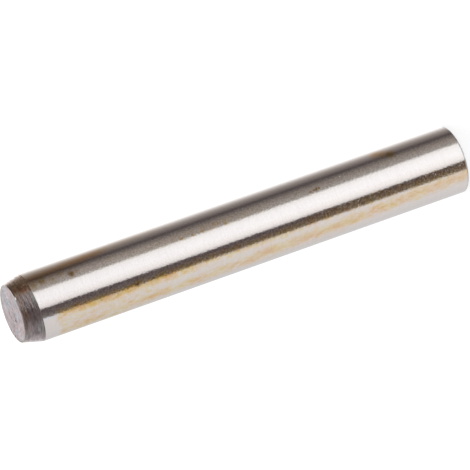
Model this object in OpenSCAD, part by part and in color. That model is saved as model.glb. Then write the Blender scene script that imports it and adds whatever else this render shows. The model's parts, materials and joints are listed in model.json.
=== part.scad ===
// Parallel dowel pin: turned from one bar, hardened, then ground on its diameter.
// It stands on its plain end, with its axis on Z and its lead-in end up.

/* [Shank] */
// Ground diameter of the shank
pin_d = 10; // [6:0.5:20]
// Overall length, from the plain end to the lead-in end
pin_l = 70; // [20:1:160]

/* [Lead-in end] */
// Length of the lead-in taper, measured along the axis
lead_l = 2.8; // [1:0.1:5]
// Angle of the lead-in taper to the axis, in degrees
lead_angle = 15; // [5:1:25]
// Radius of the broken edge between the taper and its end face
lead_edge_r = 0.12; // [0.05:0.01:0.3]

/* [Plain end] */
// Radius of the rounded edge of the plain end
plain_edge_r = 0.3; // [0.1:0.05:1]

/* [Hidden] */
steel = [0.80, 0.79, 0.78];
$fn = 96;

shank_r = pin_d / 2;
// Radius that the taper would have at the end face if its edge were sharp
sharp_r = shank_r - lead_l * tan(lead_angle);
// The edge radius touches the end face here
face_r = sharp_r - lead_edge_r * tan(45 - lead_angle / 2);
// The taper's own direction across the axis, from which its edge radius springs
across = cos(lead_angle);
along = sin(lead_angle);

// The whole shank up to the taper, with the rounded edge at its foot
module shank_section() {
    translate([0, plain_edge_r])
        square([shank_r, pin_l - lead_l - plain_edge_r]);
    square([shank_r - plain_edge_r, plain_edge_r]);
    translate([shank_r - plain_edge_r, plain_edge_r])
        circle(plain_edge_r);
}

// The taper above the shank, with the broken edge at its end face
module lead_section() {
    edge_z = pin_l - lead_edge_r;
    polygon([
        [0, pin_l - lead_l],
        [shank_r, pin_l - lead_l],
        [face_r + lead_edge_r * across, edge_z + lead_edge_r * along],
        [face_r, pin_l],
        [0, pin_l]
    ]);
    translate([face_r, edge_z])
        circle(lead_edge_r);
}

module pin() {
    color(steel)
        rotate_extrude() {
            shank_section();
            lead_section();
        }
}

pin();
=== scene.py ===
import json
import math

import bpy
import numpy as np
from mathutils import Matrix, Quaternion, Vector


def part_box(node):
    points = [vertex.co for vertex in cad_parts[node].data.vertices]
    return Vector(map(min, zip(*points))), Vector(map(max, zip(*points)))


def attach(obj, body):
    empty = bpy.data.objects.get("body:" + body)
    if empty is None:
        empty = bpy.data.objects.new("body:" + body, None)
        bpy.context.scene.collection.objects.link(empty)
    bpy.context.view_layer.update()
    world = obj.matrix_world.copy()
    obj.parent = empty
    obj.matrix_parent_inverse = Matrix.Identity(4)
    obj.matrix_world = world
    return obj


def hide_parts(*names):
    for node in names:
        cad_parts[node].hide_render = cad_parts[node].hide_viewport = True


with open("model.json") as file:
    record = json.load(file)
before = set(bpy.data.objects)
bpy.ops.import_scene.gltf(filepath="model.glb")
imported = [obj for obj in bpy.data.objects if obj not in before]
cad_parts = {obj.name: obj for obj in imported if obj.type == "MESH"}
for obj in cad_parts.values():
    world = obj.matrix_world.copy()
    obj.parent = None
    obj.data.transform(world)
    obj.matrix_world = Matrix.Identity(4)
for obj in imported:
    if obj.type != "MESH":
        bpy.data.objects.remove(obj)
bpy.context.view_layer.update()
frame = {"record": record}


# --- The view --------------------------------------------------------------------------------
# A long lens looks down on the standing pin from 19 degrees above level. It is rolled well past
# upright, so that the pin lies across the picture with its tapered lead-in end at the lower left.
# Lengths are in millimetres, here and in every section, and turn to metres where they are times MM.
MM = 0.001
camera_place = Vector((0.0, -596.32, 240.62)) * MM
camera_aim = Vector((0.12, 0.0, 35.2)) * MM
camera_roll = math.radians(-109.39)
camera_lens = 340.5
camera = bpy.data.objects.new("camera", bpy.data.cameras.new("camera"))
camera.data.sensor_width = 36.0
camera.data.lens = camera_lens
camera.data.clip_start = 10 * MM
camera.data.clip_end = 20000 * MM
camera.location = camera_place
camera.rotation_mode = "QUATERNION"
upright = (camera_aim - camera_place).to_track_quat("-Z", "Y")
camera.rotation_quaternion = upright @ Quaternion((0.0, 0.0, 1.0), camera_roll)
bpy.context.scene.collection.objects.link(camera)
bpy.context.scene.camera = camera
bpy.context.scene.view_settings.view_transform = "Standard"


# --- The light tent --------------------------------------------------------------------------
# A white tent stands all round the pin. A soft box hangs on the camera's side, and two black
# flags stand beside it, which give bright ground steel the dark bands that show it is round.
def linear(shade):
    """An sRGB hex value as the linear colour that a node holds."""
    parts = [int(shade[i:i + 2], 16) / 255 for i in (0, 2, 4)]
    return [p / 12.92 if p <= 0.04045 else ((p + 0.055) / 1.055) ** 2.4 for p in parts] + [1.0]


def add(tree, kind, inputs=None, stops=(), course=(), **settings):
    """Adds a node with its settings, and gives each input a value, or a link from a node or socket. A
    ramp's stops are values and their shades, and a curve's course is the points that it runs through."""
    node = tree.nodes.new(kind)
    for name, value in settings.items():
        setattr(node, name, value)
    for socket, value in (inputs or {}).items():
        if isinstance(value, bpy.types.Node):
            value = value.outputs[0]
        if isinstance(value, bpy.types.NodeSocket):
            tree.links.new(value, node.inputs[socket])
        else:
            node.inputs[socket].default_value = value

    # A new ramp or curve has two stops or points, and gains the others here.
    if stops:
        elements = node.color_ramp.elements
        while len(elements) < len(stops):
            elements.new(0.5)
        for element, (position, shade) in zip(elements, stops):
            element.position = position
            element.color = linear(shade)
    if course:
        points = node.mapping.curves[0].points
        while len(points) < len(course):
            points.new(0.5, 0.5)
        for point, place in zip(points, course):
            point.location = place
        node.mapping.update()
    return node


def all_round(stops):
    """Stops from -180 to 180 degrees as stops from 0 to 1."""
    return [(degrees / 360 + 0.5, shade) for degrees, shade in stops]


# Degrees round the tent from the camera's side, towards +X, and the shade that hangs there.
tent_shades = (
    (-180, "BABABA"),  # back wall
    (-150, "C0C0C0"),
    (-110, "D0CECC"),  # side wall
    (-50, "D8D6D4"),
    (-45, "706860"),  # black flag, lit a little at its outer edge
    (-25, "584E4C"),
    (-16.5, "504648"),
    (-15, "D4D2D0"),  # soft box
    (-5, "F2F0EE"),
    (10, "FCFDFE"),
    (30, "F8F9FA"),
    (41, "ECECEA"),
    (47, "999590"),  # second flag, darkest at its far end
    (65, "888079"),
    (92, "4A4444"),
    (115, "88807C"),  # other side wall
    (130, "B0AAA6"),
    (150, "E8E6E4"),
    (170, "F0F0F0"),
    (180, "BABABA"),
)
tent = bpy.data.worlds.new("light_tent")
tent.use_nodes = True
cloth = tent.node_tree
cloth.nodes.clear()
toward = add(cloth, "ShaderNodeSeparateXYZ", {0: add(cloth, "ShaderNodeTexCoord").outputs["Generated"]})
to_front = add(cloth, "ShaderNodeMath", {0: toward.outputs["Y"], 1: -1.0}, operation="MULTIPLY")
heading = add(cloth, "ShaderNodeMath", {0: toward.outputs["X"], 1: to_front}, operation="ARCTAN2")
swung = add(cloth, "ShaderNodeMapRange", {"Value": heading, "From Min": -math.pi, "From Max": math.pi})

# The upright shank mirrors what stands below level: 22 degrees below at its foot, and 16 by its
# taper. These are the Z of those two directions. The tent is a little brighter towards the foot.
foot_z = -0.374
taper_z = -0.27
tent_strength = add(cloth, "ShaderNodeMapRange", {
    "Value": toward.outputs["Z"], "From Min": foot_z, "From Max": taper_z, "To Min": 1.59, "To Max": 1.49,
})

# At the foot the soft box is wider, and the flags beside it are narrower. Each heading takes its
# shade there from this many degrees further round, and by the taper from a quarter of that the
# other way. The line's whole height stands for the range, and its middle for no lean.
leans = (
    (-180, 0), (-80, 0), (-44, -0.9), (-16, 1.2), (0, 0),
    (32, 0), (46, -2.7), (64, -2.7), (90, 0), (180, 0),
)
lean_range = 20
lean_line = add(cloth, "ShaderNodeFloatCurve", {"Value": swung}, course=[
    (degrees / 360 + 0.5, lean / lean_range + 0.5) for degrees, lean in leans
])
lean_share = add(cloth, "ShaderNodeMapRange", {
    "Value": toward.outputs["Z"], "From Min": foot_z, "From Max": taper_z,
    "To Min": lean_range / 360, "To Max": -lean_range / 4 / 360,
})
leant = add(cloth, "ShaderNodeMath", {0: lean_line, 1: 0.5}, operation="SUBTRACT")
turn = add(cloth, "ShaderNodeMath", {0: leant, 1: lean_share, 2: swung}, operation="MULTIPLY_ADD")
hung = add(cloth, "ShaderNodeValToRGB", {0: turn}, stops=all_round(tent_shades))

# Higher up, other shades hang on all but the far side and the roof. Most are dimmer, so that what
# leans back, as the taper does, is darker than the shank.
room_shades = (
    (-180, "C0C0C4"),  # back wall
    (-110, "C4C4C6"),  # side wall
    (-90, "989898"),
    (-70, "AAA8AA"),
    (-45, "706C6A"),  # over the first flag
    (-20, "888080"),
    (-5, "282020"),  # a dark strip straight over the camera
    (5, "302A28"),
    (35, "CCCAC8"),  # over the soft box
    (45, "DCDAD8"),
    (65, "807874"),  # over the second flag
    (85, "807468"),
    (105, "544C44"),
    (130, "908E8E"),  # other side wall
    (150, "E4E4E4"),
    (180, "C0C0C4"),
)
room = add(cloth, "ShaderNodeValToRGB", {0: turn}, stops=all_round(room_shades))
risen = add(cloth, "ShaderNodeMapRange", {
    "Value": toward.outputs["Z"], "From Min": taper_z, "From Max": -0.12,
}, interpolation_type="SMOOTHSTEP")
this_side = add(cloth, "ShaderNodeMapRange", {
    "Value": toward.outputs["Y"], "From Min": 0.85, "From Max": 0.6,
}, interpolation_type="SMOOTHSTEP")
not_overhead = add(cloth, "ShaderNodeMapRange", {
    "Value": toward.outputs["Z"], "From Min": 0.95, "From Max": 0.7,
}, interpolation_type="SMOOTHSTEP")
dim = add(cloth, "ShaderNodeMath", {0: this_side, 1: not_overhead}, operation="MULTIPLY")
dimmed = add(cloth, "ShaderNodeMath", {0: dim, 1: risen}, operation="MULTIPLY")
shown_shade = add(cloth, "ShaderNodeMix", {0: dimmed, 6: hung, 7: room}, data_type="RGBA")

# The back wall is about twice as bright in a strip that is about level with the pin.
far_off = add(cloth, "ShaderNodeMapRange", {
    "Value": toward.outputs["Y"], "From Min": 0.66, "From Max": 0.86,
})
strip_foot = add(cloth, "ShaderNodeMapRange", {
    "Value": toward.outputs["Z"], "From Min": -0.25, "From Max": -0.17,
})
strip_top = add(cloth, "ShaderNodeMapRange", {
    "Value": toward.outputs["Z"], "From Min": 0.14, "From Max": 0.02,
})
strip = add(cloth, "ShaderNodeMath", {0: strip_foot, 1: strip_top}, operation="MULTIPLY")
back_strip = add(cloth, "ShaderNodeMath", {0: far_off, 1: strip}, operation="MULTIPLY")
walls = add(cloth, "ShaderNodeMath", {0: back_strip, 1: 1.1, 2: 1.0}, operation="MULTIPLY_ADD")
strength = add(cloth, "ShaderNodeMath", {0: walls, 1: tent_strength}, operation="MULTIPLY")

# The steel mirrors the tent. Matt things are lit by a plain grey, and the background is white.
mirrored = add(cloth, "ShaderNodeBackground", {"Color": shown_shade.outputs[2], "Strength": strength})
plain = add(cloth, "ShaderNodeBackground", {"Color": linear("D8D8D8"), "Strength": 1.0})
white = add(cloth, "ShaderNodeBackground", {"Color": linear("FFFFFF"), "Strength": 1.0})
ray = add(cloth, "ShaderNodeLightPath")
seen_in_steel = add(cloth, "ShaderNodeMixShader", {0: ray.outputs["Is Glossy Ray"], 1: plain, 2: mirrored})
seen = add(cloth, "ShaderNodeMixShader", {0: ray.outputs["Is Camera Ray"], 1: seen_in_steel, 2: white})
add(cloth, "ShaderNodeOutputWorld", {"Surface": seen})
bpy.context.scene.world = tent

# A soft lamp behind the pin throws the pin's shadow towards the camera, and isn't mirrored in it.
lamp = bpy.data.objects.new("soft_lamp", bpy.data.lights.new("soft_lamp", "SUN"))
lamp.data.energy = 0.9
lamp.data.angle = math.radians(25)
lamp_stands = Vector((0.0, 0.75, 0.9))
lamp.rotation_mode = "QUATERNION"
lamp.rotation_quaternion = (-lamp_stands).to_track_quat("-Z", "Y")
lamp.visible_glossy = False
bpy.context.scene.collection.objects.link(lamp)


# --- The floor -------------------------------------------------------------------------------
# A pale, matt table top a hair below the pin. It shows white, keeps the pin's soft shadow, and is
# left out of reflections, so that the tent shows in the steel down to the foot.
floor_half = 6000.0
floor_drop = 0.01
floor_mesh = bpy.data.meshes.new("floor")
signs = ((-1, -1), (1, -1), (1, 1), (-1, 1))
corners = [(x * floor_half * MM, y * floor_half * MM, -floor_drop * MM) for x, y in signs]
floor_mesh.from_pydata(corners, [], [(0, 1, 2, 3)])
floor = bpy.data.objects.new("floor", floor_mesh)
bpy.context.scene.collection.objects.link(floor)
floor.visible_glossy = False
table_top = bpy.data.materials.new("pale_matt_table_top")
table_top.use_nodes = True
table = table_top.node_tree
table.nodes.clear()

# Its glow makes it white to look at, and adds no light to the pin.
matt = add(table, "ShaderNodeBsdfDiffuse", {"Color": linear("B4B4B4")})
glow = add(table, "ShaderNodeEmission", {"Color": linear("FFFFFF"), "Strength": 0.70})
both = add(table, "ShaderNodeAddShader", {0: matt, 1: glow})
path = add(table, "ShaderNodeLightPath")
seen_or_mirrored = add(table, "ShaderNodeMath", {
    0: path.outputs["Is Camera Ray"], 1: path.outputs["Is Glossy Ray"],
}, operation="MAXIMUM")
looked_at = add(table, "ShaderNodeMath", {
    0: seen_or_mirrored, 1: path.outputs["Is Transmission Ray"],
}, operation="MAXIMUM")
shown = add(table, "ShaderNodeMixShader", {0: looked_at, 1: matt, 2: both})
add(table, "ShaderNodeOutputMaterial", {"Surface": shown})
floor_mesh.materials.append(table_top)


# --- The pin's form --------------------------------------------------------------------------
# One piece of bar steel, turned to length with a tapered lead-in, hardened, and ground on its
# diameter. The grinder centres it a little off the lathe's axis, so the taper sits to one side.
mounts = {mount["name"]: mount for mount in frame["record"]["mounts"]}
shank = mounts["shank"]
shank_r = shank["dims"]["r_mm"]
shank_middle = shank["pos_m"][2] / MM
shank_half = shank["dims"]["length_mm"] / 2
pin_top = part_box("pin")[1].z / MM
foot_edge_r = shank_middle - shank_half
lead_l = pin_top - shank_middle - shank_half
lean_back = math.radians(15)
lead_slope = math.tan(lean_back)
lead_sharp_r = shank_r - lead_l * lead_slope  # at the face, before its edge is broken
lead_edge_r = 0.12
off_centre = np.array((0.05, -0.085))

# Every ring starts at the front, -Y, and runs round towards +X.
segments = 320
around = np.arange(segments) * 2 * math.pi / segments
ahead = np.stack((np.sin(around), -np.cos(around)))
rings = []
zones = []


def ring(zone, radius, height, centre=(0.0, 0.0)):
    """One ring of the pin's skin: its radius about a centre and its height, the same all round or not."""
    place = np.array(centre)[:, None] + ahead * radius
    rings.append(np.stack((place[0], place[1], height + np.zeros(segments)), axis=1))
    zones.append(zone)


draw = np.random.default_rng(11)


def feed_marks(travel, pitch, depths):
    """How deep the tool has cut at this travel: round furrows with sharp crests, each of its own depth."""
    furrow = int(travel / pitch)
    across = travel / pitch - furrow
    return depths[furrow % len(depths)] * 4 * across * (1 - across)


# The plain end: faced flat, with rings left by the tool, and a rounded edge.
face_pitch = 0.32
face_step = 0.08
foot_depths = draw.uniform(0.002, 0.007, 20)
foot_flat_r = shank_r - foot_edge_r
for travel in np.arange(face_step, foot_flat_r, face_step):
    ring("faced", travel, feed_marks(travel, face_pitch, foot_depths))
edge_steps = 8
for step in range(edge_steps + 1):
    lean = math.radians(90) * step / edge_steps
    ring("faced", foot_flat_r + foot_edge_r * math.sin(lean), foot_edge_r * (1 - math.cos(lean)))

# The shank: a true cylinder from the rounded edge up to where the taper cuts it. A ring close to
# each of its ends keeps the shading of the cylinder apart from that of its edge.
loop_gap = 0.03
shank_rings = 20
shank_margin = 1.0
ring("ground", shank_r, foot_edge_r + loop_gap)
for height in np.linspace(foot_edge_r + shank_margin, pin_top - lead_l - shank_margin, shank_rings):
    ring("ground", shank_r, height)

# The taper's axis lies beside the shank's, so the line where they meet rises and falls a little.
out = off_centre @ ahead
taper_foot_r = np.sqrt(shank_r ** 2 - off_centre @ off_centre + out ** 2) - out
taper_foot = pin_top - (taper_foot_r - lead_sharp_r) / lead_slope
ring("ground", taper_foot_r, taper_foot - loop_gap, off_centre)
ring("ground", taper_foot_r, taper_foot, off_centre)

# The taper: its furrows run round it, left by the lathe before hardening.
feed = 0.25
taper_depths = draw.uniform(0.004, 0.016, 24)
taper_head = pin_top - lead_edge_r * (1 - math.sin(lean_back))
taper_rows = 64
for row in range(1, taper_rows):
    height = taper_foot + (taper_head - taper_foot) * row / taper_rows
    cut = np.array([feed_marks(pin_top - h, feed, taper_depths) for h in height])
    radius = lead_sharp_r + (pin_top - height) * lead_slope
    ring("turned", radius - cut * math.cos(lean_back), height - cut * math.sin(lean_back), off_centre)

# The lead-in end's face: a broken edge, then the tool's rings in to the middle.
lead_flat_r = lead_sharp_r - lead_edge_r * math.tan(math.radians(45) - lean_back / 2)
for step in range(edge_steps + 1):
    lean = lean_back + (math.radians(90) - lean_back) * step / edge_steps
    radius = lead_flat_r + lead_edge_r * math.cos(lean)
    ring("faced", radius, pin_top - lead_edge_r * (1 - math.sin(lean)), off_centre)
lead_depths = draw.uniform(0.002, 0.008, 20)
for travel in np.arange(lead_flat_r - face_step, face_step / 2, -face_step):
    ring("faced", travel, pin_top - feed_marks(travel, face_pitch, lead_depths), off_centre)

# Knocks: a nick in the edge of the lead-in face, and a pit near its middle. Each has its place,
# which way it was pushed in, its size and its depth.
skin = np.concatenate(rings)
knocks = (
    ((1.83, -3.93, pin_top), (-0.3, 0.7, -0.7), 0.11, 0.13),
    ((-1.04, -0.45, pin_top), (0.0, 0.0, -1.0), 0.10, 0.07),
)
for place, push, size, depth in knocks:
    away = np.linalg.norm(skin - np.array(place), axis=1)
    skin += np.exp(-(away / size) ** 2)[:, None] * np.array(push) * depth

# The skin: a band of faces between each two rings, and a fan that closes each end.
foot_point = len(skin)
lead_point = foot_point + 1
skin = np.concatenate((skin, ((0, 0, 0), (off_centre[0], off_centre[1], pin_top)))) * MM
faces = []
face_zones = []
for row in range(len(rings) - 1):
    low = row * segments
    high = low + segments
    for i in range(segments):
        j = (i + 1) % segments
        faces.append((low + i, low + j, high + j, high + i))
        face_zones.append(zones[row + 1])
last = (len(rings) - 1) * segments
for i in range(segments):
    j = (i + 1) % segments
    faces.append((j, i, foot_point))
    faces.append((last + i, last + j, lead_point))
    face_zones += ["faced", "faced"]

pin_mesh = bpy.data.meshes.new("dowel_pin")
pin_mesh.from_pydata(skin.tolist(), [], faces)
pin_mesh.polygons.foreach_set("use_smooth", [True] * len(faces))
pin = bpy.data.objects.new("dowel_pin", pin_mesh)
bpy.context.scene.collection.objects.link(pin)


# --- Ground steel: the shank -----------------------------------------------------------------
# Hardened steel, plunge ground: bright, nearly a mirror round the pin, with fine lines round it.
# Oil has dried on it in golden streaks along the pin, and the heat has browned it by the taper.
def pattern(tree, place, size, detail, roughness=0.5):
    """Cloudy noise, with blobs of this size in mm: one size, or one for each of x, y and z."""
    sizes = size if isinstance(size, tuple) else (size, size, size)
    packed = add(tree, "ShaderNodeVectorMath", {0: place, 1: [1 / s for s in sizes]}, operation="MULTIPLY")
    return add(tree, "ShaderNodeTexNoise", {
        "Vector": packed, "Scale": 1.0, "Detail": detail, "Roughness": roughness,
    })


def where(tree):
    """The place on the pin in mm, its height, and its angle in degrees from the front towards +X."""
    place = add(tree, "ShaderNodeVectorMath", {
        0: add(tree, "ShaderNodeTexCoord").outputs["Object"], "Scale": 1 / MM,
    }, operation="SCALE")
    part = add(tree, "ShaderNodeSeparateXYZ", {0: place})
    front = add(tree, "ShaderNodeMath", {0: part.outputs["Y"], 1: -1.0}, operation="MULTIPLY")
    swing = add(tree, "ShaderNodeMath", {0: part.outputs["X"], 1: front}, operation="ARCTAN2")
    angle = add(tree, "ShaderNodeMath", {0: swing, 1: 180 / math.pi}, operation="MULTIPLY")
    return place, part.outputs["Z"], angle


def shifted(tree, value, noise, most):
    """A value moved up or down by a noise, by this much at most."""
    shift = add(tree, "ShaderNodeMath", {0: noise, 1: 0.5}, operation="SUBTRACT")
    return add(tree, "ShaderNodeMath", {0: shift, 1: 2 * most, 2: value}, operation="MULTIPLY_ADD")


ground = bpy.data.materials.new("ground_hardened_steel")
ground.use_nodes = True
tree = ground.node_tree
tree.nodes.clear()
place, height, angle = where(tree)

# Clouds and finer curls push the edges of the stains about.
clouds = pattern(tree, place, 2.2, 3.0)
curls = pattern(tree, place, (0.7, 0.7, 0.9), 3.0, 0.6)
loose_angle = shifted(tree, shifted(tree, angle, clouds, 4.0), curls, 4.0)
loose_height = shifted(tree, shifted(tree, height, clouds, 1.4), curls, 0.8)
along = add(tree, "ShaderNodeMath", {0: height, 1: 1 / pin_top}, operation="MULTIPLY")


def within(tree, value, low, high, soft, fade=None):
    """1 where a value lies between two limits, and down to 0 across a soft edge on each of them. The
    high edge fades more softly, or less, where that is given."""
    fade = soft if fade is None else fade
    rise = add(tree, "ShaderNodeMapRange", {
        "Value": value, "From Min": low - soft, "From Max": low + soft,
    }, interpolation_type="SMOOTHSTEP")
    fall = add(tree, "ShaderNodeMapRange", {
        "Value": value, "From Min": high + fade, "From Max": high - fade,
    }, interpolation_type="SMOOTHSTEP")
    return add(tree, "ShaderNodeMath", {0: rise, 1: fall}, operation="MULTIPLY")


def greatest(tree, values):
    """The greatest of some values."""
    most = values[0]
    for value in values[1:]:
        most = add(tree, "ShaderNodeMath", {0: most, 1: value}, operation="MAXIMUM")
    return most


def streak(tree, course, spread, start, soft, end, fade, strength):
    """How thickly a streak lies: its course as heights and angles, how far it spreads to each side in
    degrees, the heights where it begins and ends, each with how softly, and its strength."""
    line = add(tree, "ShaderNodeFloatCurve", {"Value": along}, course=[
        (at / pin_top, degrees / 360 + 0.5) for at, degrees in course
    ])
    middle = add(tree, "ShaderNodeMath", {0: line, 1: 360.0, 2: -180.0}, operation="MULTIPLY_ADD")
    aside = add(tree, "ShaderNodeMath", {0: loose_angle, 1: middle}, operation="SUBTRACT")
    reach = within(tree, loose_height, start, end, soft, fade)
    cover = within(tree, aside, -spread / 2, spread / 2, spread / 2)
    streaked = add(tree, "ShaderNodeMath", {0: cover, 1: reach}, operation="MULTIPLY")
    return add(tree, "ShaderNodeMath", {0: streaked, 1: strength}, operation="MULTIPLY")


# The oil's streaks. All that lies in front stops short of the taper, the tide mark in a sharp line.
tide_line = 65.3
tide_mark = ((0, -31), (9, -36), (16, -40), (24, -45), (32, -48), (42, -54), (52, -56), (62, -60), (70, -62))
streaks = (
    (tide_mark, 18, -1, 2, tide_line, 0.5, 0.47),
    (((0, -64), (70, -70)), 26, 51, 5, tide_line, 0.5, 0.42),  # beside the tide mark, by the taper
    (((0, -25), (70, -27)), 13, 43, 6, 64.7, 0.5, 0.75),  # along the dark band
    (((0, -24), (70, -25)), 9, 25, 4, 45, 4, 0.42),
    (((0, -19), (70, -20)), 9, -2, 1, 50, 4, 0.5),
    (((0, -20.5), (70, -21)), 6, 42, 4, 63.5, 0.8, 0.65),
    (((0, -22), (70, -23)), 6, 44, 4, 62.5, 1.5, 0.95),
    (((0, -12.8), (70, -14)), 6, -2, 1, 28, 6, 0.4),
    (((0, -30), (70, -40)), 14, -2, 1, 12, 5, 0.1),
    (((0, 29), (70, 29)), 10, 34, 6, 52, 6, 0.2),  # past the soft box's reflection
    (((0, 118), (30, 124), (70, 131)), 14, 6, 5, 60, 5, 0.5),  # at the back
    (((0, 160), (70, 152)), 18, 44, 5, 66, 5, 0.4),
    (((0, -150), (25, -141), (70, -128)), 15, 3, 4, 66, 4, 0.45),
)
oil = [streak(tree, *values) for values in streaks]

# A thin haze of oil lies over one side, and thickens in steps up to the tide line.
front = within(tree, loose_angle, -68, -22, 5)
for start, strength in ((20, 0.08), (50, 0.22), (64.2, 0.42)):
    reach = within(tree, loose_height, start, tide_line, 0.5)
    haze = add(tree, "ShaderNodeMath", {0: front, 1: reach}, operation="MULTIPLY")
    oil.append(add(tree, "ShaderNodeMath", {0: haze, 1: strength}, operation="MULTIPLY"))
stain = greatest(tree, oil)

# The oil is patchy, and more so in the upper half. Where it lies at all, it has curdled.
thinnest = add(tree, "ShaderNodeMapRange", {
    "Value": height, "From Min": 28.0, "From Max": 44.0, "To Min": 0.85, "To Max": 0.6,
})
patchy = add(tree, "ShaderNodeMapRange", {
    "Value": pattern(tree, place, (1.5, 1.5, 2.6), 2.0), "From Min": 0.36, "From Max": 0.64,
    "To Min": thinnest, "To Max": 1.25,
})
stain = add(tree, "ShaderNodeMath", {0: stain, 1: patchy}, operation="MULTIPLY")
oiled = add(tree, "ShaderNodeMapRange", {"Value": stain, "From Max": 0.2, "To Max": 1.6})
curds = shifted(tree, 0.0, pattern(tree, place, (0.5, 0.5, 0.9), 4.0, 0.75), 0.4)
stain = add(tree, "ShaderNodeMath", {0: curds, 1: oiled, 2: stain}, operation="MULTIPLY_ADD")


def spot(tree, place, middle, reach, core=0.0, most=1.0, fading="LINEAR"):
    """How thickly a round spot lies: nothing at its reach from its middle, and the most at its core."""
    away = add(tree, "ShaderNodeVectorMath", {0: place, 1: middle}, operation="DISTANCE")
    return add(tree, "ShaderNodeMapRange", {
        "Value": away.outputs["Value"], "From Min": reach, "From Max": core, "To Max": most,
    }, interpolation_type=fading)


def on_shank(at, degrees):
    """The place on the shank's surface at a height and an angle."""
    bearing = math.radians(degrees)
    return np.array((shank_r * math.sin(bearing), -shank_r * math.cos(bearing), at))


# Drops that dried: height, angle, half their size, how golden and how dark each one is. Noise makes
# them ragged. It moves every place by half the raggedness on average, and their middles with it.
drops = (
    (61.3, 31, 0.50, 0.9, 0.7),
    (60.5, 33, 0.35, 0.5, 0.1),
    (68.4, 36, 0.60, 0.7, 0.3),
    (67.0, 33, 0.60, 0.7, 0.25),
    (65.6, 36, 0.65, 0.7, 0.3),
    (64.2, 33, 0.60, 0.5, 0.1),
    (62.8, 38, 0.60, 0.4, 0.1),
    (52.7, -23.0, 0.30, 0.6, 1.0),
    (51.7, -22.5, 0.22, 0.5, 0.8),
    (50.2, -20.5, 0.22, 0.4, 0.5),
    (55.9, -24.5, 0.22, 0.6, 0.4),
    (58.4, -27.0, 0.18, 0.6, 0.35),
    (22.5, 29, 0.20, 0.7, 0.6),
    (22.9, 29, 0.26, 0.8, 0.85),
    (23.3, 29, 0.20, 0.8, 0.7),
    (23.9, 28, 0.20, 0.6, 0.35),
    (44.4, 25.5, 0.30, 0.7, 0.2),
    (42.6, 24.5, 0.25, 0.8, 0.15),
    (41.2, 26, 0.30, 0.7, 0.2),
    (37.5, 25, 0.30, 0.6, 0.1),
    (10.3, 48.5, 0.75, 0.8, 0.3),
    (11.3, 54, 0.95, 0.6, 0.05),
    (12.0, 59, 1.0, 0.5, 0.0),
    (55.3, 34, 0.35, 0.4, 0.0),
    (40.1, 141, 0.50, 0.8, 0.5),
    (14.6, -118, 0.45, 0.8, 0.4),
    (57.5, -164, 0.70, 0.7, 0.1),
)
raggedness = 0.6
drop_reach = 1.6
ragged = add(tree, "ShaderNodeVectorMath", {
    0: curls.outputs["Color"], "Scale": raggedness,
}, operation="SCALE")
nearby = add(tree, "ShaderNodeVectorMath", {0: place, 1: ragged})
golden_drops = []
residues = []
for at, degrees, size, golden, residue in drops:
    middle = on_shank(at, degrees) + raggedness / 2
    drop = spot(tree, nearby, middle, size * drop_reach, fading="SMOOTHSTEP")
    golden_drops.append(add(tree, "ShaderNodeMath", {0: drop, 1: golden}, operation="MULTIPLY"))
    residues.append(add(tree, "ShaderNodeMath", {0: drop, 1: residue}, operation="MULTIPLY"))
stain = greatest(tree, [stain] + golden_drops)
dark = greatest(tree, residues)

# The thicker the oil, the more golden it is, and its hue wanders a little.
film_shades = ((0.0, "D1CCCB"), (0.35, "D2C0AB"), (0.7, "CCAC82"), (1.0, "CC9E62"))
film = add(tree, "ShaderNodeValToRGB", {0: stain}, stops=film_shades)
hue = add(tree, "ShaderNodeMapRange", {
    "Value": pattern(tree, place, (1.6, 1.6, 2.4), 0.0), "From Min": 0.3, "From Max": 0.7,
    "To Min": 0.496, "To Max": 0.522,
})
tint = add(tree, "ShaderNodeHueSaturation", {"Hue": hue, "Color": film})

# Towards the taper the heat has left its films on one side: a brown one, and a paler one beside it. What
# lies between them and the soft box's reflection, where no oil lies, is painted lighter, as painted light
# that brightens what the steel mirrors there. On the other side, past the tide line, the bare steel is
# faintly blue. The drops' dark residue lies over it all.
heat_line = ((50, 60), (56, 57), (60, 54), (64, 51), (67, 49), (70, 48))
browned = streak(tree, heat_line, 16, 55, 2, 74, 1, 1.0)
faded = streak(tree, ((44, 66), (70, 64)), 21, 48, 5, 74, 1, 0.7)
painted_light_streak = streak(tree, ((44, 31), (70, 31)), 14, 45, 6, 69, 2, 0.8)
blued = streak(tree, ((60, -20), (70, -20)), 14, tide_line, 0.5, 74, 1, 0.7)
unstained = add(tree, "ShaderNodeMath", {0: 1.0, 1: stain}, operation="SUBTRACT", use_clamp=True)
painted_light_unoiled = add(tree, "ShaderNodeMath", {0: painted_light_streak, 1: unstained}, operation="MULTIPLY")
for cover, shade in (
    (faded, "BDB2A6"),
    # painted light: a lighter patch that brightens what the steel mirrors there
    (painted_light_unoiled, "E2DCDA"),
    (blued, "CACDD8"),
    (browned, "BFA283"),
    (dark, "6B5630"),
):
    tint = add(tree, "ShaderNodeMix", {0: cover, 6: tint, 7: linear(shade)}, data_type="RGBA").outputs[2]

# The grinding lines run round the pin. They are drawn wider than they are, so that they show.
lines = add(tree, "ShaderNodeMapRange", {
    "Value": pattern(tree, place, (3.0, 3.0, 0.2), 2.0), "From Min": 0.3, "From Max": 0.7,
    "To Min": 0.984, "To Max": 1.016,
})

# A faint ripple blurs what the steel mirrors, and oil makes it blurrier.
ripple = pattern(tree, place, 0.28, 1.0)
waves = add(tree, "ShaderNodeBump", {"Height": ripple, "Strength": 1.0, "Distance": 0.008 * MM})
rough = add(tree, "ShaderNodeMath", {0: stain, 1: 0.06, 2: 0.11}, operation="MULTIPLY_ADD")

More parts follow.
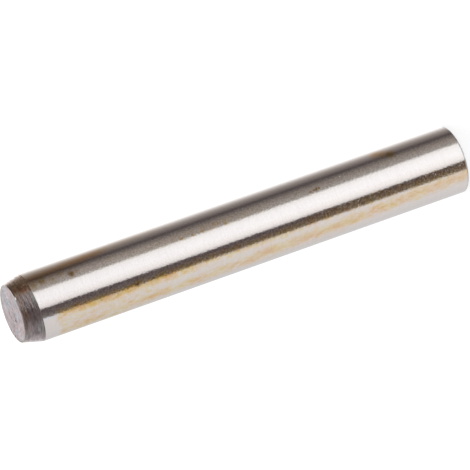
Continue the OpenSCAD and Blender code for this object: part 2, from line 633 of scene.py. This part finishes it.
# Fine dust lies in the oil. It speckles what the steel mirrors, most where that is dark, and shows
# pale near the foot. Its grains are drawn larger than they are, so that they can be seen at all.
grains = pattern(tree, place, 0.24, 1.0)
upper_band = within(tree, angle, 22, 44, 3)
lower_band = within(tree, angle, -24, -9, 1)
upper_dust = add(tree, "ShaderNodeMath", {0: upper_band, 1: 0.055, 2: 0.012}, operation="MULTIPLY_ADD")
speckling = add(tree, "ShaderNodeMath", {0: lower_band, 1: 0.12, 2: upper_dust}, operation="MULTIPLY_ADD")
grit = add(tree, "ShaderNodeMath", {
    0: shifted(tree, 0.0, grains, 5.0), 1: speckling, 2: lines,
}, operation="MULTIPLY_ADD")
lined = add(tree, "ShaderNodeVectorMath", {0: tint, "Scale": grit}, operation="SCALE")
pale = add(tree, "ShaderNodeMapRange", {"Value": grains, "From Min": 0.47, "From Max": 0.68})
near_foot = within(tree, loose_height, -5, 24, 4)
dusty = add(tree, "ShaderNodeMath", {0: lower_band, 1: near_foot}, operation="MULTIPLY")
palest = add(tree, "ShaderNodeMath", {0: dusty, 1: 0.17, 2: 0.015}, operation="MULTIPLY_ADD")
dust = add(tree, "ShaderNodeMath", {0: pale, 1: palest}, operation="MULTIPLY")

# Single specks, larger than the grains: height, angle and half their size.
specks = (
    (18.8, 37.7, 0.12),
    (17.7, -12.9, 0.12),
    (17.8, -19.6, 0.13),
    (5.2, -13.9, 0.12),
    (5.5, -11.5, 0.10),
    (1.2, -13.4, 0.13),
    (0.9, -11.0, 0.11),
    (2.4, -9.6, 0.11),
    (46.2, 24.5, 0.10),
)
speck_reach = 1.4
speck_cover = 0.8
for at, degrees, size in specks:
    speck = spot(tree, place, on_shank(at, degrees), size * speck_reach, most=speck_cover)
    dust = greatest(tree, [dust, speck])
bare = add(tree, "ShaderNodeMath", {0: 1.0, 1: dust}, operation="SUBTRACT")
dusted = add(tree, "ShaderNodeMix", {0: dust, 6: lined.outputs[0], 7: linear("F4F4F2")}, data_type="RGBA")
surface = add(tree, "ShaderNodeBsdfPrincipled", {
    "Base Color": dusted.outputs[2], "Metallic": bare, "Roughness": rough, "Normal": waves,
})
add(tree, "ShaderNodeOutputMaterial", {"Surface": surface})


# --- Turned steel: the taper -----------------------------------------------------------------
# The lathe's own finish, left from before hardening: torn a little by the tool, and brown on one side from
# the heat. Its scratches run round it, and catch the soft box as short bright streaks, which are also
# painted into its colour as painted glints and shade. It is painted paler where it turns away, a painted
# sheen.
turned = bpy.data.materials.new("turned_hardened_steel")
turned.use_nodes = True
tree = turned.node_tree
tree.nodes.clear()
place, height, angle = where(tree)
travel = add(tree, "ShaderNodeMath", {0: pin_top, 1: height}, operation="SUBTRACT")
torn = pattern(tree, place, (0.7, 0.7, 0.15), 3.0, 0.6)
blotches = pattern(tree, place, (0.7, 0.7, 0.45), 3.0, 0.6)
loose_angle = shifted(tree, angle, blotches, 12.0)


def patch(tree, start, end, soft, low, high, fade):
    """1 on a patch of the taper, between two travels down it from the face and between two angles
    round it, each with how soft its edges are."""
    down = within(tree, travel, start, end, soft)
    across = within(tree, loose_angle, low, high, fade)
    return add(tree, "ShaderNodeMath", {0: down, 1: across}, operation="MULTIPLY")


# One side is browned, and spotted with rust and smut. Other covers lie over the rest in patches.
browned = within(tree, loose_angle, 28, 73, 7, 11)
rust = add(tree, "ShaderNodeMapRange", {
    "Value": pattern(tree, place, (0.5, 0.5, 0.3), 2.0), "From Min": 0.55, "From Max": 0.68,
})
rust_in_brown = add(tree, "ShaderNodeMath", {0: rust, 1: browned}, operation="MULTIPLY")
rusty = greatest(tree, [
    rust_in_brown,
    patch(tree, 0.25, 0.65, 0.12, 37, 46, 3),
    patch(tree, 1.15, 1.75, 0.12, 31, 39, 3),
])
smutty = greatest(tree, [
    patch(tree, 2.15, 2.6, 0.12, 26, 38, 3),
    patch(tree, 0.8, 1.2, 0.12, 33, 47, 3),
    patch(tree, 1.65, 2.05, 0.12, 32, 42, 3),
])
tone = linear("998E8E")
for cover, shade, strength in (
    (browned, "AA957F", 0.85),
    (rusty, "8A5238", 0.6),
    (patch(tree, -0.1, 0.38, 0.12, 44, 62, 5), "6A5A4C", 0.45),  # darker by the face
    (smutty, "6A5040", 0.75),
    (patch(tree, -0.1, 0.14, 0.05, 20, 70, 5), "3A2C22", 0.6),  # a dark line where it meets the face
    (patch(tree, 2.0, 3.0, 0.2, 2, 23, 4), "A0ABA4", 0.6),  # greenish by the shank
    (patch(tree, 1.7, 3.0, 0.2, -50, -28, 5), "9C9F9C", 0.5),  # grey by the shank
    (patch(tree, -0.2, 0.7, 0.3, -40, 30, 8), "9A8272", 0.35),  # tinged brown by the face
    (patch(tree, 0.1, 1.1, 0.2, -18, -2, 4), "AC8A76", 0.45),  # redder in one place
    (patch(tree, 0.9, 1.6, 0.2, -32, 14, 5), "6E6464", 0.4),  # dull further down
    # Painted sheen: the next cover is paler where the taper turns away from the camera, at grazing angles.
    (within(tree, loose_angle, 74, 100, 7), "B6AAA8", 0.9),  # paler where it turns away
):
    share = add(tree, "ShaderNodeMath", {0: cover, 1: strength}, operation="MULTIPLY")
    tone = add(tree, "ShaderNodeMix", {0: share, 6: tone, 7: linear(shade)}, data_type="RGBA").outputs[2]

# The tears are deepest on the side that faces the soft box, from the face down past the middle. Their light
# and dark is also painted into the colour there, as painted glints and shade.
deepest = patch(tree, 0.2, 1.8, 0.3, -2, 28, 6)
depth = add(tree, "ShaderNodeMath", {0: deepest, 1: 0.65, 2: 0.35}, operation="MULTIPLY_ADD")
tearing = add(tree, "ShaderNodeMath", {0: torn, 1: 0.5}, operation="SUBTRACT")
torn_depth = add(tree, "ShaderNodeMath", {0: tearing, 1: depth}, operation="MULTIPLY")
# Painted glints and shade: the tears' depth, made lighter and darker in the colour.
painted_tear_glints_and_shade = add(tree, "ShaderNodeMapRange", {
    "Value": torn_depth, "From Min": -0.2, "From Max": 0.2, "To Min": 0.5, "To Max": 1.5,
})
rounds = add(tree, "ShaderNodeMapRange", {
    "Value": pattern(tree, place, (1.3, 1.3, 0.24), 2.0), "From Min": 0.35, "From Max": 0.65,
    "To Min": 0.72, "To Max": 1.28,
})
rings_and_painted_glints = add(tree, "ShaderNodeMath", {0: painted_tear_glints_and_shade, 1: rounds}, operation="MULTIPLY")
colour = add(tree, "ShaderNodeVectorMath", {0: tone, "Scale": rings_and_painted_glints}, operation="SCALE")
waves = add(tree, "ShaderNodeBump", {"Height": torn_depth, "Strength": 1.0, "Distance": 0.14 * MM})
surface = add(tree, "ShaderNodeBsdfPrincipled", {
    "Base Color": colour.outputs[0], "Metallic": 1.0, "Roughness": 0.32, "Normal": waves,
})
add(tree, "ShaderNodeOutputMaterial", {"Surface": surface})


# --- Faced steel: both ends ------------------------------------------------------------------
# Cut flat across by a facing tool before hardening: a matt light grey in rings, mottled blue and pink by the
# heat, and torn in places by the tool. Painted highlight and shade lie round the lead-in face's edge, and a
# painted glint by its nick.
faced = bpy.data.materials.new("faced_hardened_steel")
faced.use_nodes = True
tree = faced.node_tree
tree.nodes.clear()
place, height, angle = where(tree)

# Noise over the direction from the middle and the distance from it makes arcs round the face.
part = add(tree, "ShaderNodeSeparateXYZ", {0: place})
flat = add(tree, "ShaderNodeCombineXYZ", {"X": part.outputs["X"], "Y": part.outputs["Y"]})
radius = add(tree, "ShaderNodeVectorMath", {0: flat}, operation="LENGTH").outputs["Value"]
bearing = add(tree, "ShaderNodeVectorMath", {0: flat}, operation="NORMALIZE")
outward = add(tree, "ShaderNodeCombineXYZ", {"Z": radius})
ringwise = add(tree, "ShaderNodeVectorMath", {0: bearing, 1: outward})
arcs = pattern(tree, ringwise, (0.7, 0.7, 0.2), 3.0, 0.6)

# The heat's mottling runs from blue to pink. It is bluest in a few places: where each one is on the
# face, and its size.
blue_places = (
    (2.7, 1.3, 2.4),
    (2.3, -0.3, 1.3),
    (-0.5, -1.8, 0.8),
    (-2.5, 0.9, 0.7),
)
mottle = pattern(tree, place, (1.5, 2.0, 1.5), 1.5)
cool = greatest(tree, [spot(tree, place, (x, y, pin_top), size) for x, y, size in blue_places])
cooling = add(tree, "ShaderNodeMath", {0: cool, 1: 0.45}, operation="MULTIPLY")
warmth = add(tree, "ShaderNodeMath", {0: mottle, 1: cooling}, operation="SUBTRACT")
heat = add(tree, "ShaderNodeMapRange", {"Value": warmth, "From Min": 0.22, "From Max": 0.46})
tone = add(tree, "ShaderNodeMix", {0: heat, 6: linear("BCBDC2"), 7: linear("C8B8BA")}, data_type="RGBA")

# The lead-in end is the one above the pin's middle. Its broken edge, and a little of the flat inside it, is
# painted lighter and darker round it, as painted highlight and shade: degrees round it, and the shade there.
lead_end = add(tree, "ShaderNodeMath", {0: height, 1: pin_top / 2}, operation="GREATER_THAN")
outer = add(tree, "ShaderNodeMapRange", {
    "Value": radius, "From Min": lead_flat_r - 0.24, "From Max": lead_flat_r - 0.06,
})
edge = add(tree, "ShaderNodeMath", {0: outer, 1: lead_end}, operation="MULTIPLY")
rim_painted_shades = (
    (-180, "807C7C"),
    (-120, "686464"),
    (-80, "A89C94"),
    (-20, "948880"),
    (30, "988E86"),
    (60, "A89C94"),
    (80, "D4CAC6"),
    (130, "D0CACC"),
    (180, "807C7C"),
)
round_rim = add(tree, "ShaderNodeMapRange", {"Value": angle, "From Min": -180.0, "From Max": 180.0})
painted_rim_light = add(tree, "ShaderNodeValToRGB", {0: round_rim}, stops=all_round(rim_painted_shades))
tone = add(tree, "ShaderNodeMix", {0: edge, 6: tone.outputs[2], 7: painted_rim_light}, data_type="RGBA")

# The plain end's rounded edge is an even grey. A part of the other end's edge is browned outside, and has a
# bright line painted inside it, a painted highlight.
foot_edge = add(tree, "ShaderNodeMapRange", {
    "Value": radius, "From Min": foot_flat_r - 0.1, "From Max": foot_flat_r,
})
tone = add(tree, "ShaderNodeMix", {0: foot_edge, 6: tone.outputs[2], 7: linear("BEBFC1")}, data_type="RGBA")
brown_edge = add(tree, "ShaderNodeMath", {
    0: within(tree, radius, lead_flat_r + 0.03, shank_r, 0.04), 1: within(tree, angle, 32, 66, 4),
}, operation="MULTIPLY")
painted_edge_highlight = add(tree, "ShaderNodeMath", {
    0: within(tree, radius, lead_flat_r - 0.26, lead_flat_r + 0.04, 0.05), 1: within(tree, angle, 26, 62, 6),
}, operation="MULTIPLY")
for cover, shade, strength in ((painted_edge_highlight, "E6D6CF", 0.85), (brown_edge, "4A3A30", 0.7)):
    share = add(tree, "ShaderNodeMath", {0: cover, 1: strength}, operation="MULTIPLY")
    covered = add(tree, "ShaderNodeMath", {0: share, 1: lead_end}, operation="MULTIPLY")
    tone = add(tree, "ShaderNodeMix", {0: covered, 6: tone.outputs[2], 7: linear(shade)}, data_type="RGBA")

# The tool's rings and scuffs, light and dark.
scuffs = pattern(tree, place, (0.8, 0.45, 0.8), 2.0)
rough_cut = add(tree, "ShaderNodeMath", {0: arcs, 1: scuffs}, operation="ADD")
cut_shade = add(tree, "ShaderNodeMapRange", {
    "Value": rough_cut, "From Min": 0.7, "From Max": 1.3, "To Min": 0.63, "To Max": 1.37,
})
colour = add(tree, "ShaderNodeVectorMath", {0: tone.outputs[2], "Scale": cut_shade}, operation="SCALE")

# Tears in the face, and a groove round its middle. Each tear has its place, half its size and its
# strength. It is darkest within its core, and fades out to its reach.
tears = (
    (-1.04, -0.40, 0.20, 0.9),
    (-1.20, -0.60, 0.22, 0.3),
    (-0.70, -1.00, 0.20, 0.3),
    (-0.80, -0.65, 0.60, 0.3),
    (-1.65, 1.25, 0.17, 0.55),
    (-0.45, 1.05, 0.18, 0.6),
    (0.30, 1.35, 0.20, 0.5),
    (-0.15, -0.85, 0.16, 0.6),
    (0.62, -0.85, 0.16, 0.6),
    (1.50, 0.70, 0.15, 0.35),
    (-2.05, 3.20, 0.16, 0.7),
    (-3.00, 2.30, 0.18, 0.7),
    (-2.30, 2.10, 0.16, 0.6),
    (-2.45, 2.75, 0.13, 0.5),
)
tear_reach = 2
tear_core = 0.4
ring_groove = within(tree, shifted(tree, radius, mottle, 0.3), 1.05, 1.2, 0.1)
dark = add(tree, "ShaderNodeMath", {0: ring_groove, 1: 0.3}, operation="MULTIPLY")
for x, y, size, strength in tears:
    tear = spot(tree, place, (x, y, pin_top), size * tear_reach, size * tear_core, strength, "SMOOTHSTEP")
    dark = greatest(tree, [dark, tear])
colour = add(tree, "ShaderNodeMix", {0: dark, 6: colour.outputs[0], 7: linear("4A4746")}, data_type="RGBA")

# A bright glint is painted beside the nick, a painted highlight.
painted_nick_glint = spot(tree, place, (1.85, -3.8, pin_top), 0.3, 0.12)
colour = add(tree, "ShaderNodeMix", {0: painted_nick_glint, 6: colour.outputs[2], 7: linear("F4EEEA")}, data_type="RGBA")
waves = add(tree, "ShaderNodeBump", {"Height": arcs, "Strength": 1.0, "Distance": 0.02 * MM})
surface = add(tree, "ShaderNodeBsdfPrincipled", {
    "Base Color": colour.outputs[2], "Metallic": 1.0, "Roughness": 0.42, "Normal": waves,
})
add(tree, "ShaderNodeOutputMaterial", {"Surface": surface})

# Each finish goes on its own zone of the skin. The pin is all one piece, and rides on the one body.
finishes = {"ground": ground, "turned": turned, "faced": faced}
for finish in finishes.values():
    pin_mesh.materials.append(finish)
order = list(finishes)
pin_mesh.polygons.foreach_set("material_index", [order.index(zone) for zone in face_zones])
pin_mesh.update()
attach(pin, "root")
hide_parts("pin")
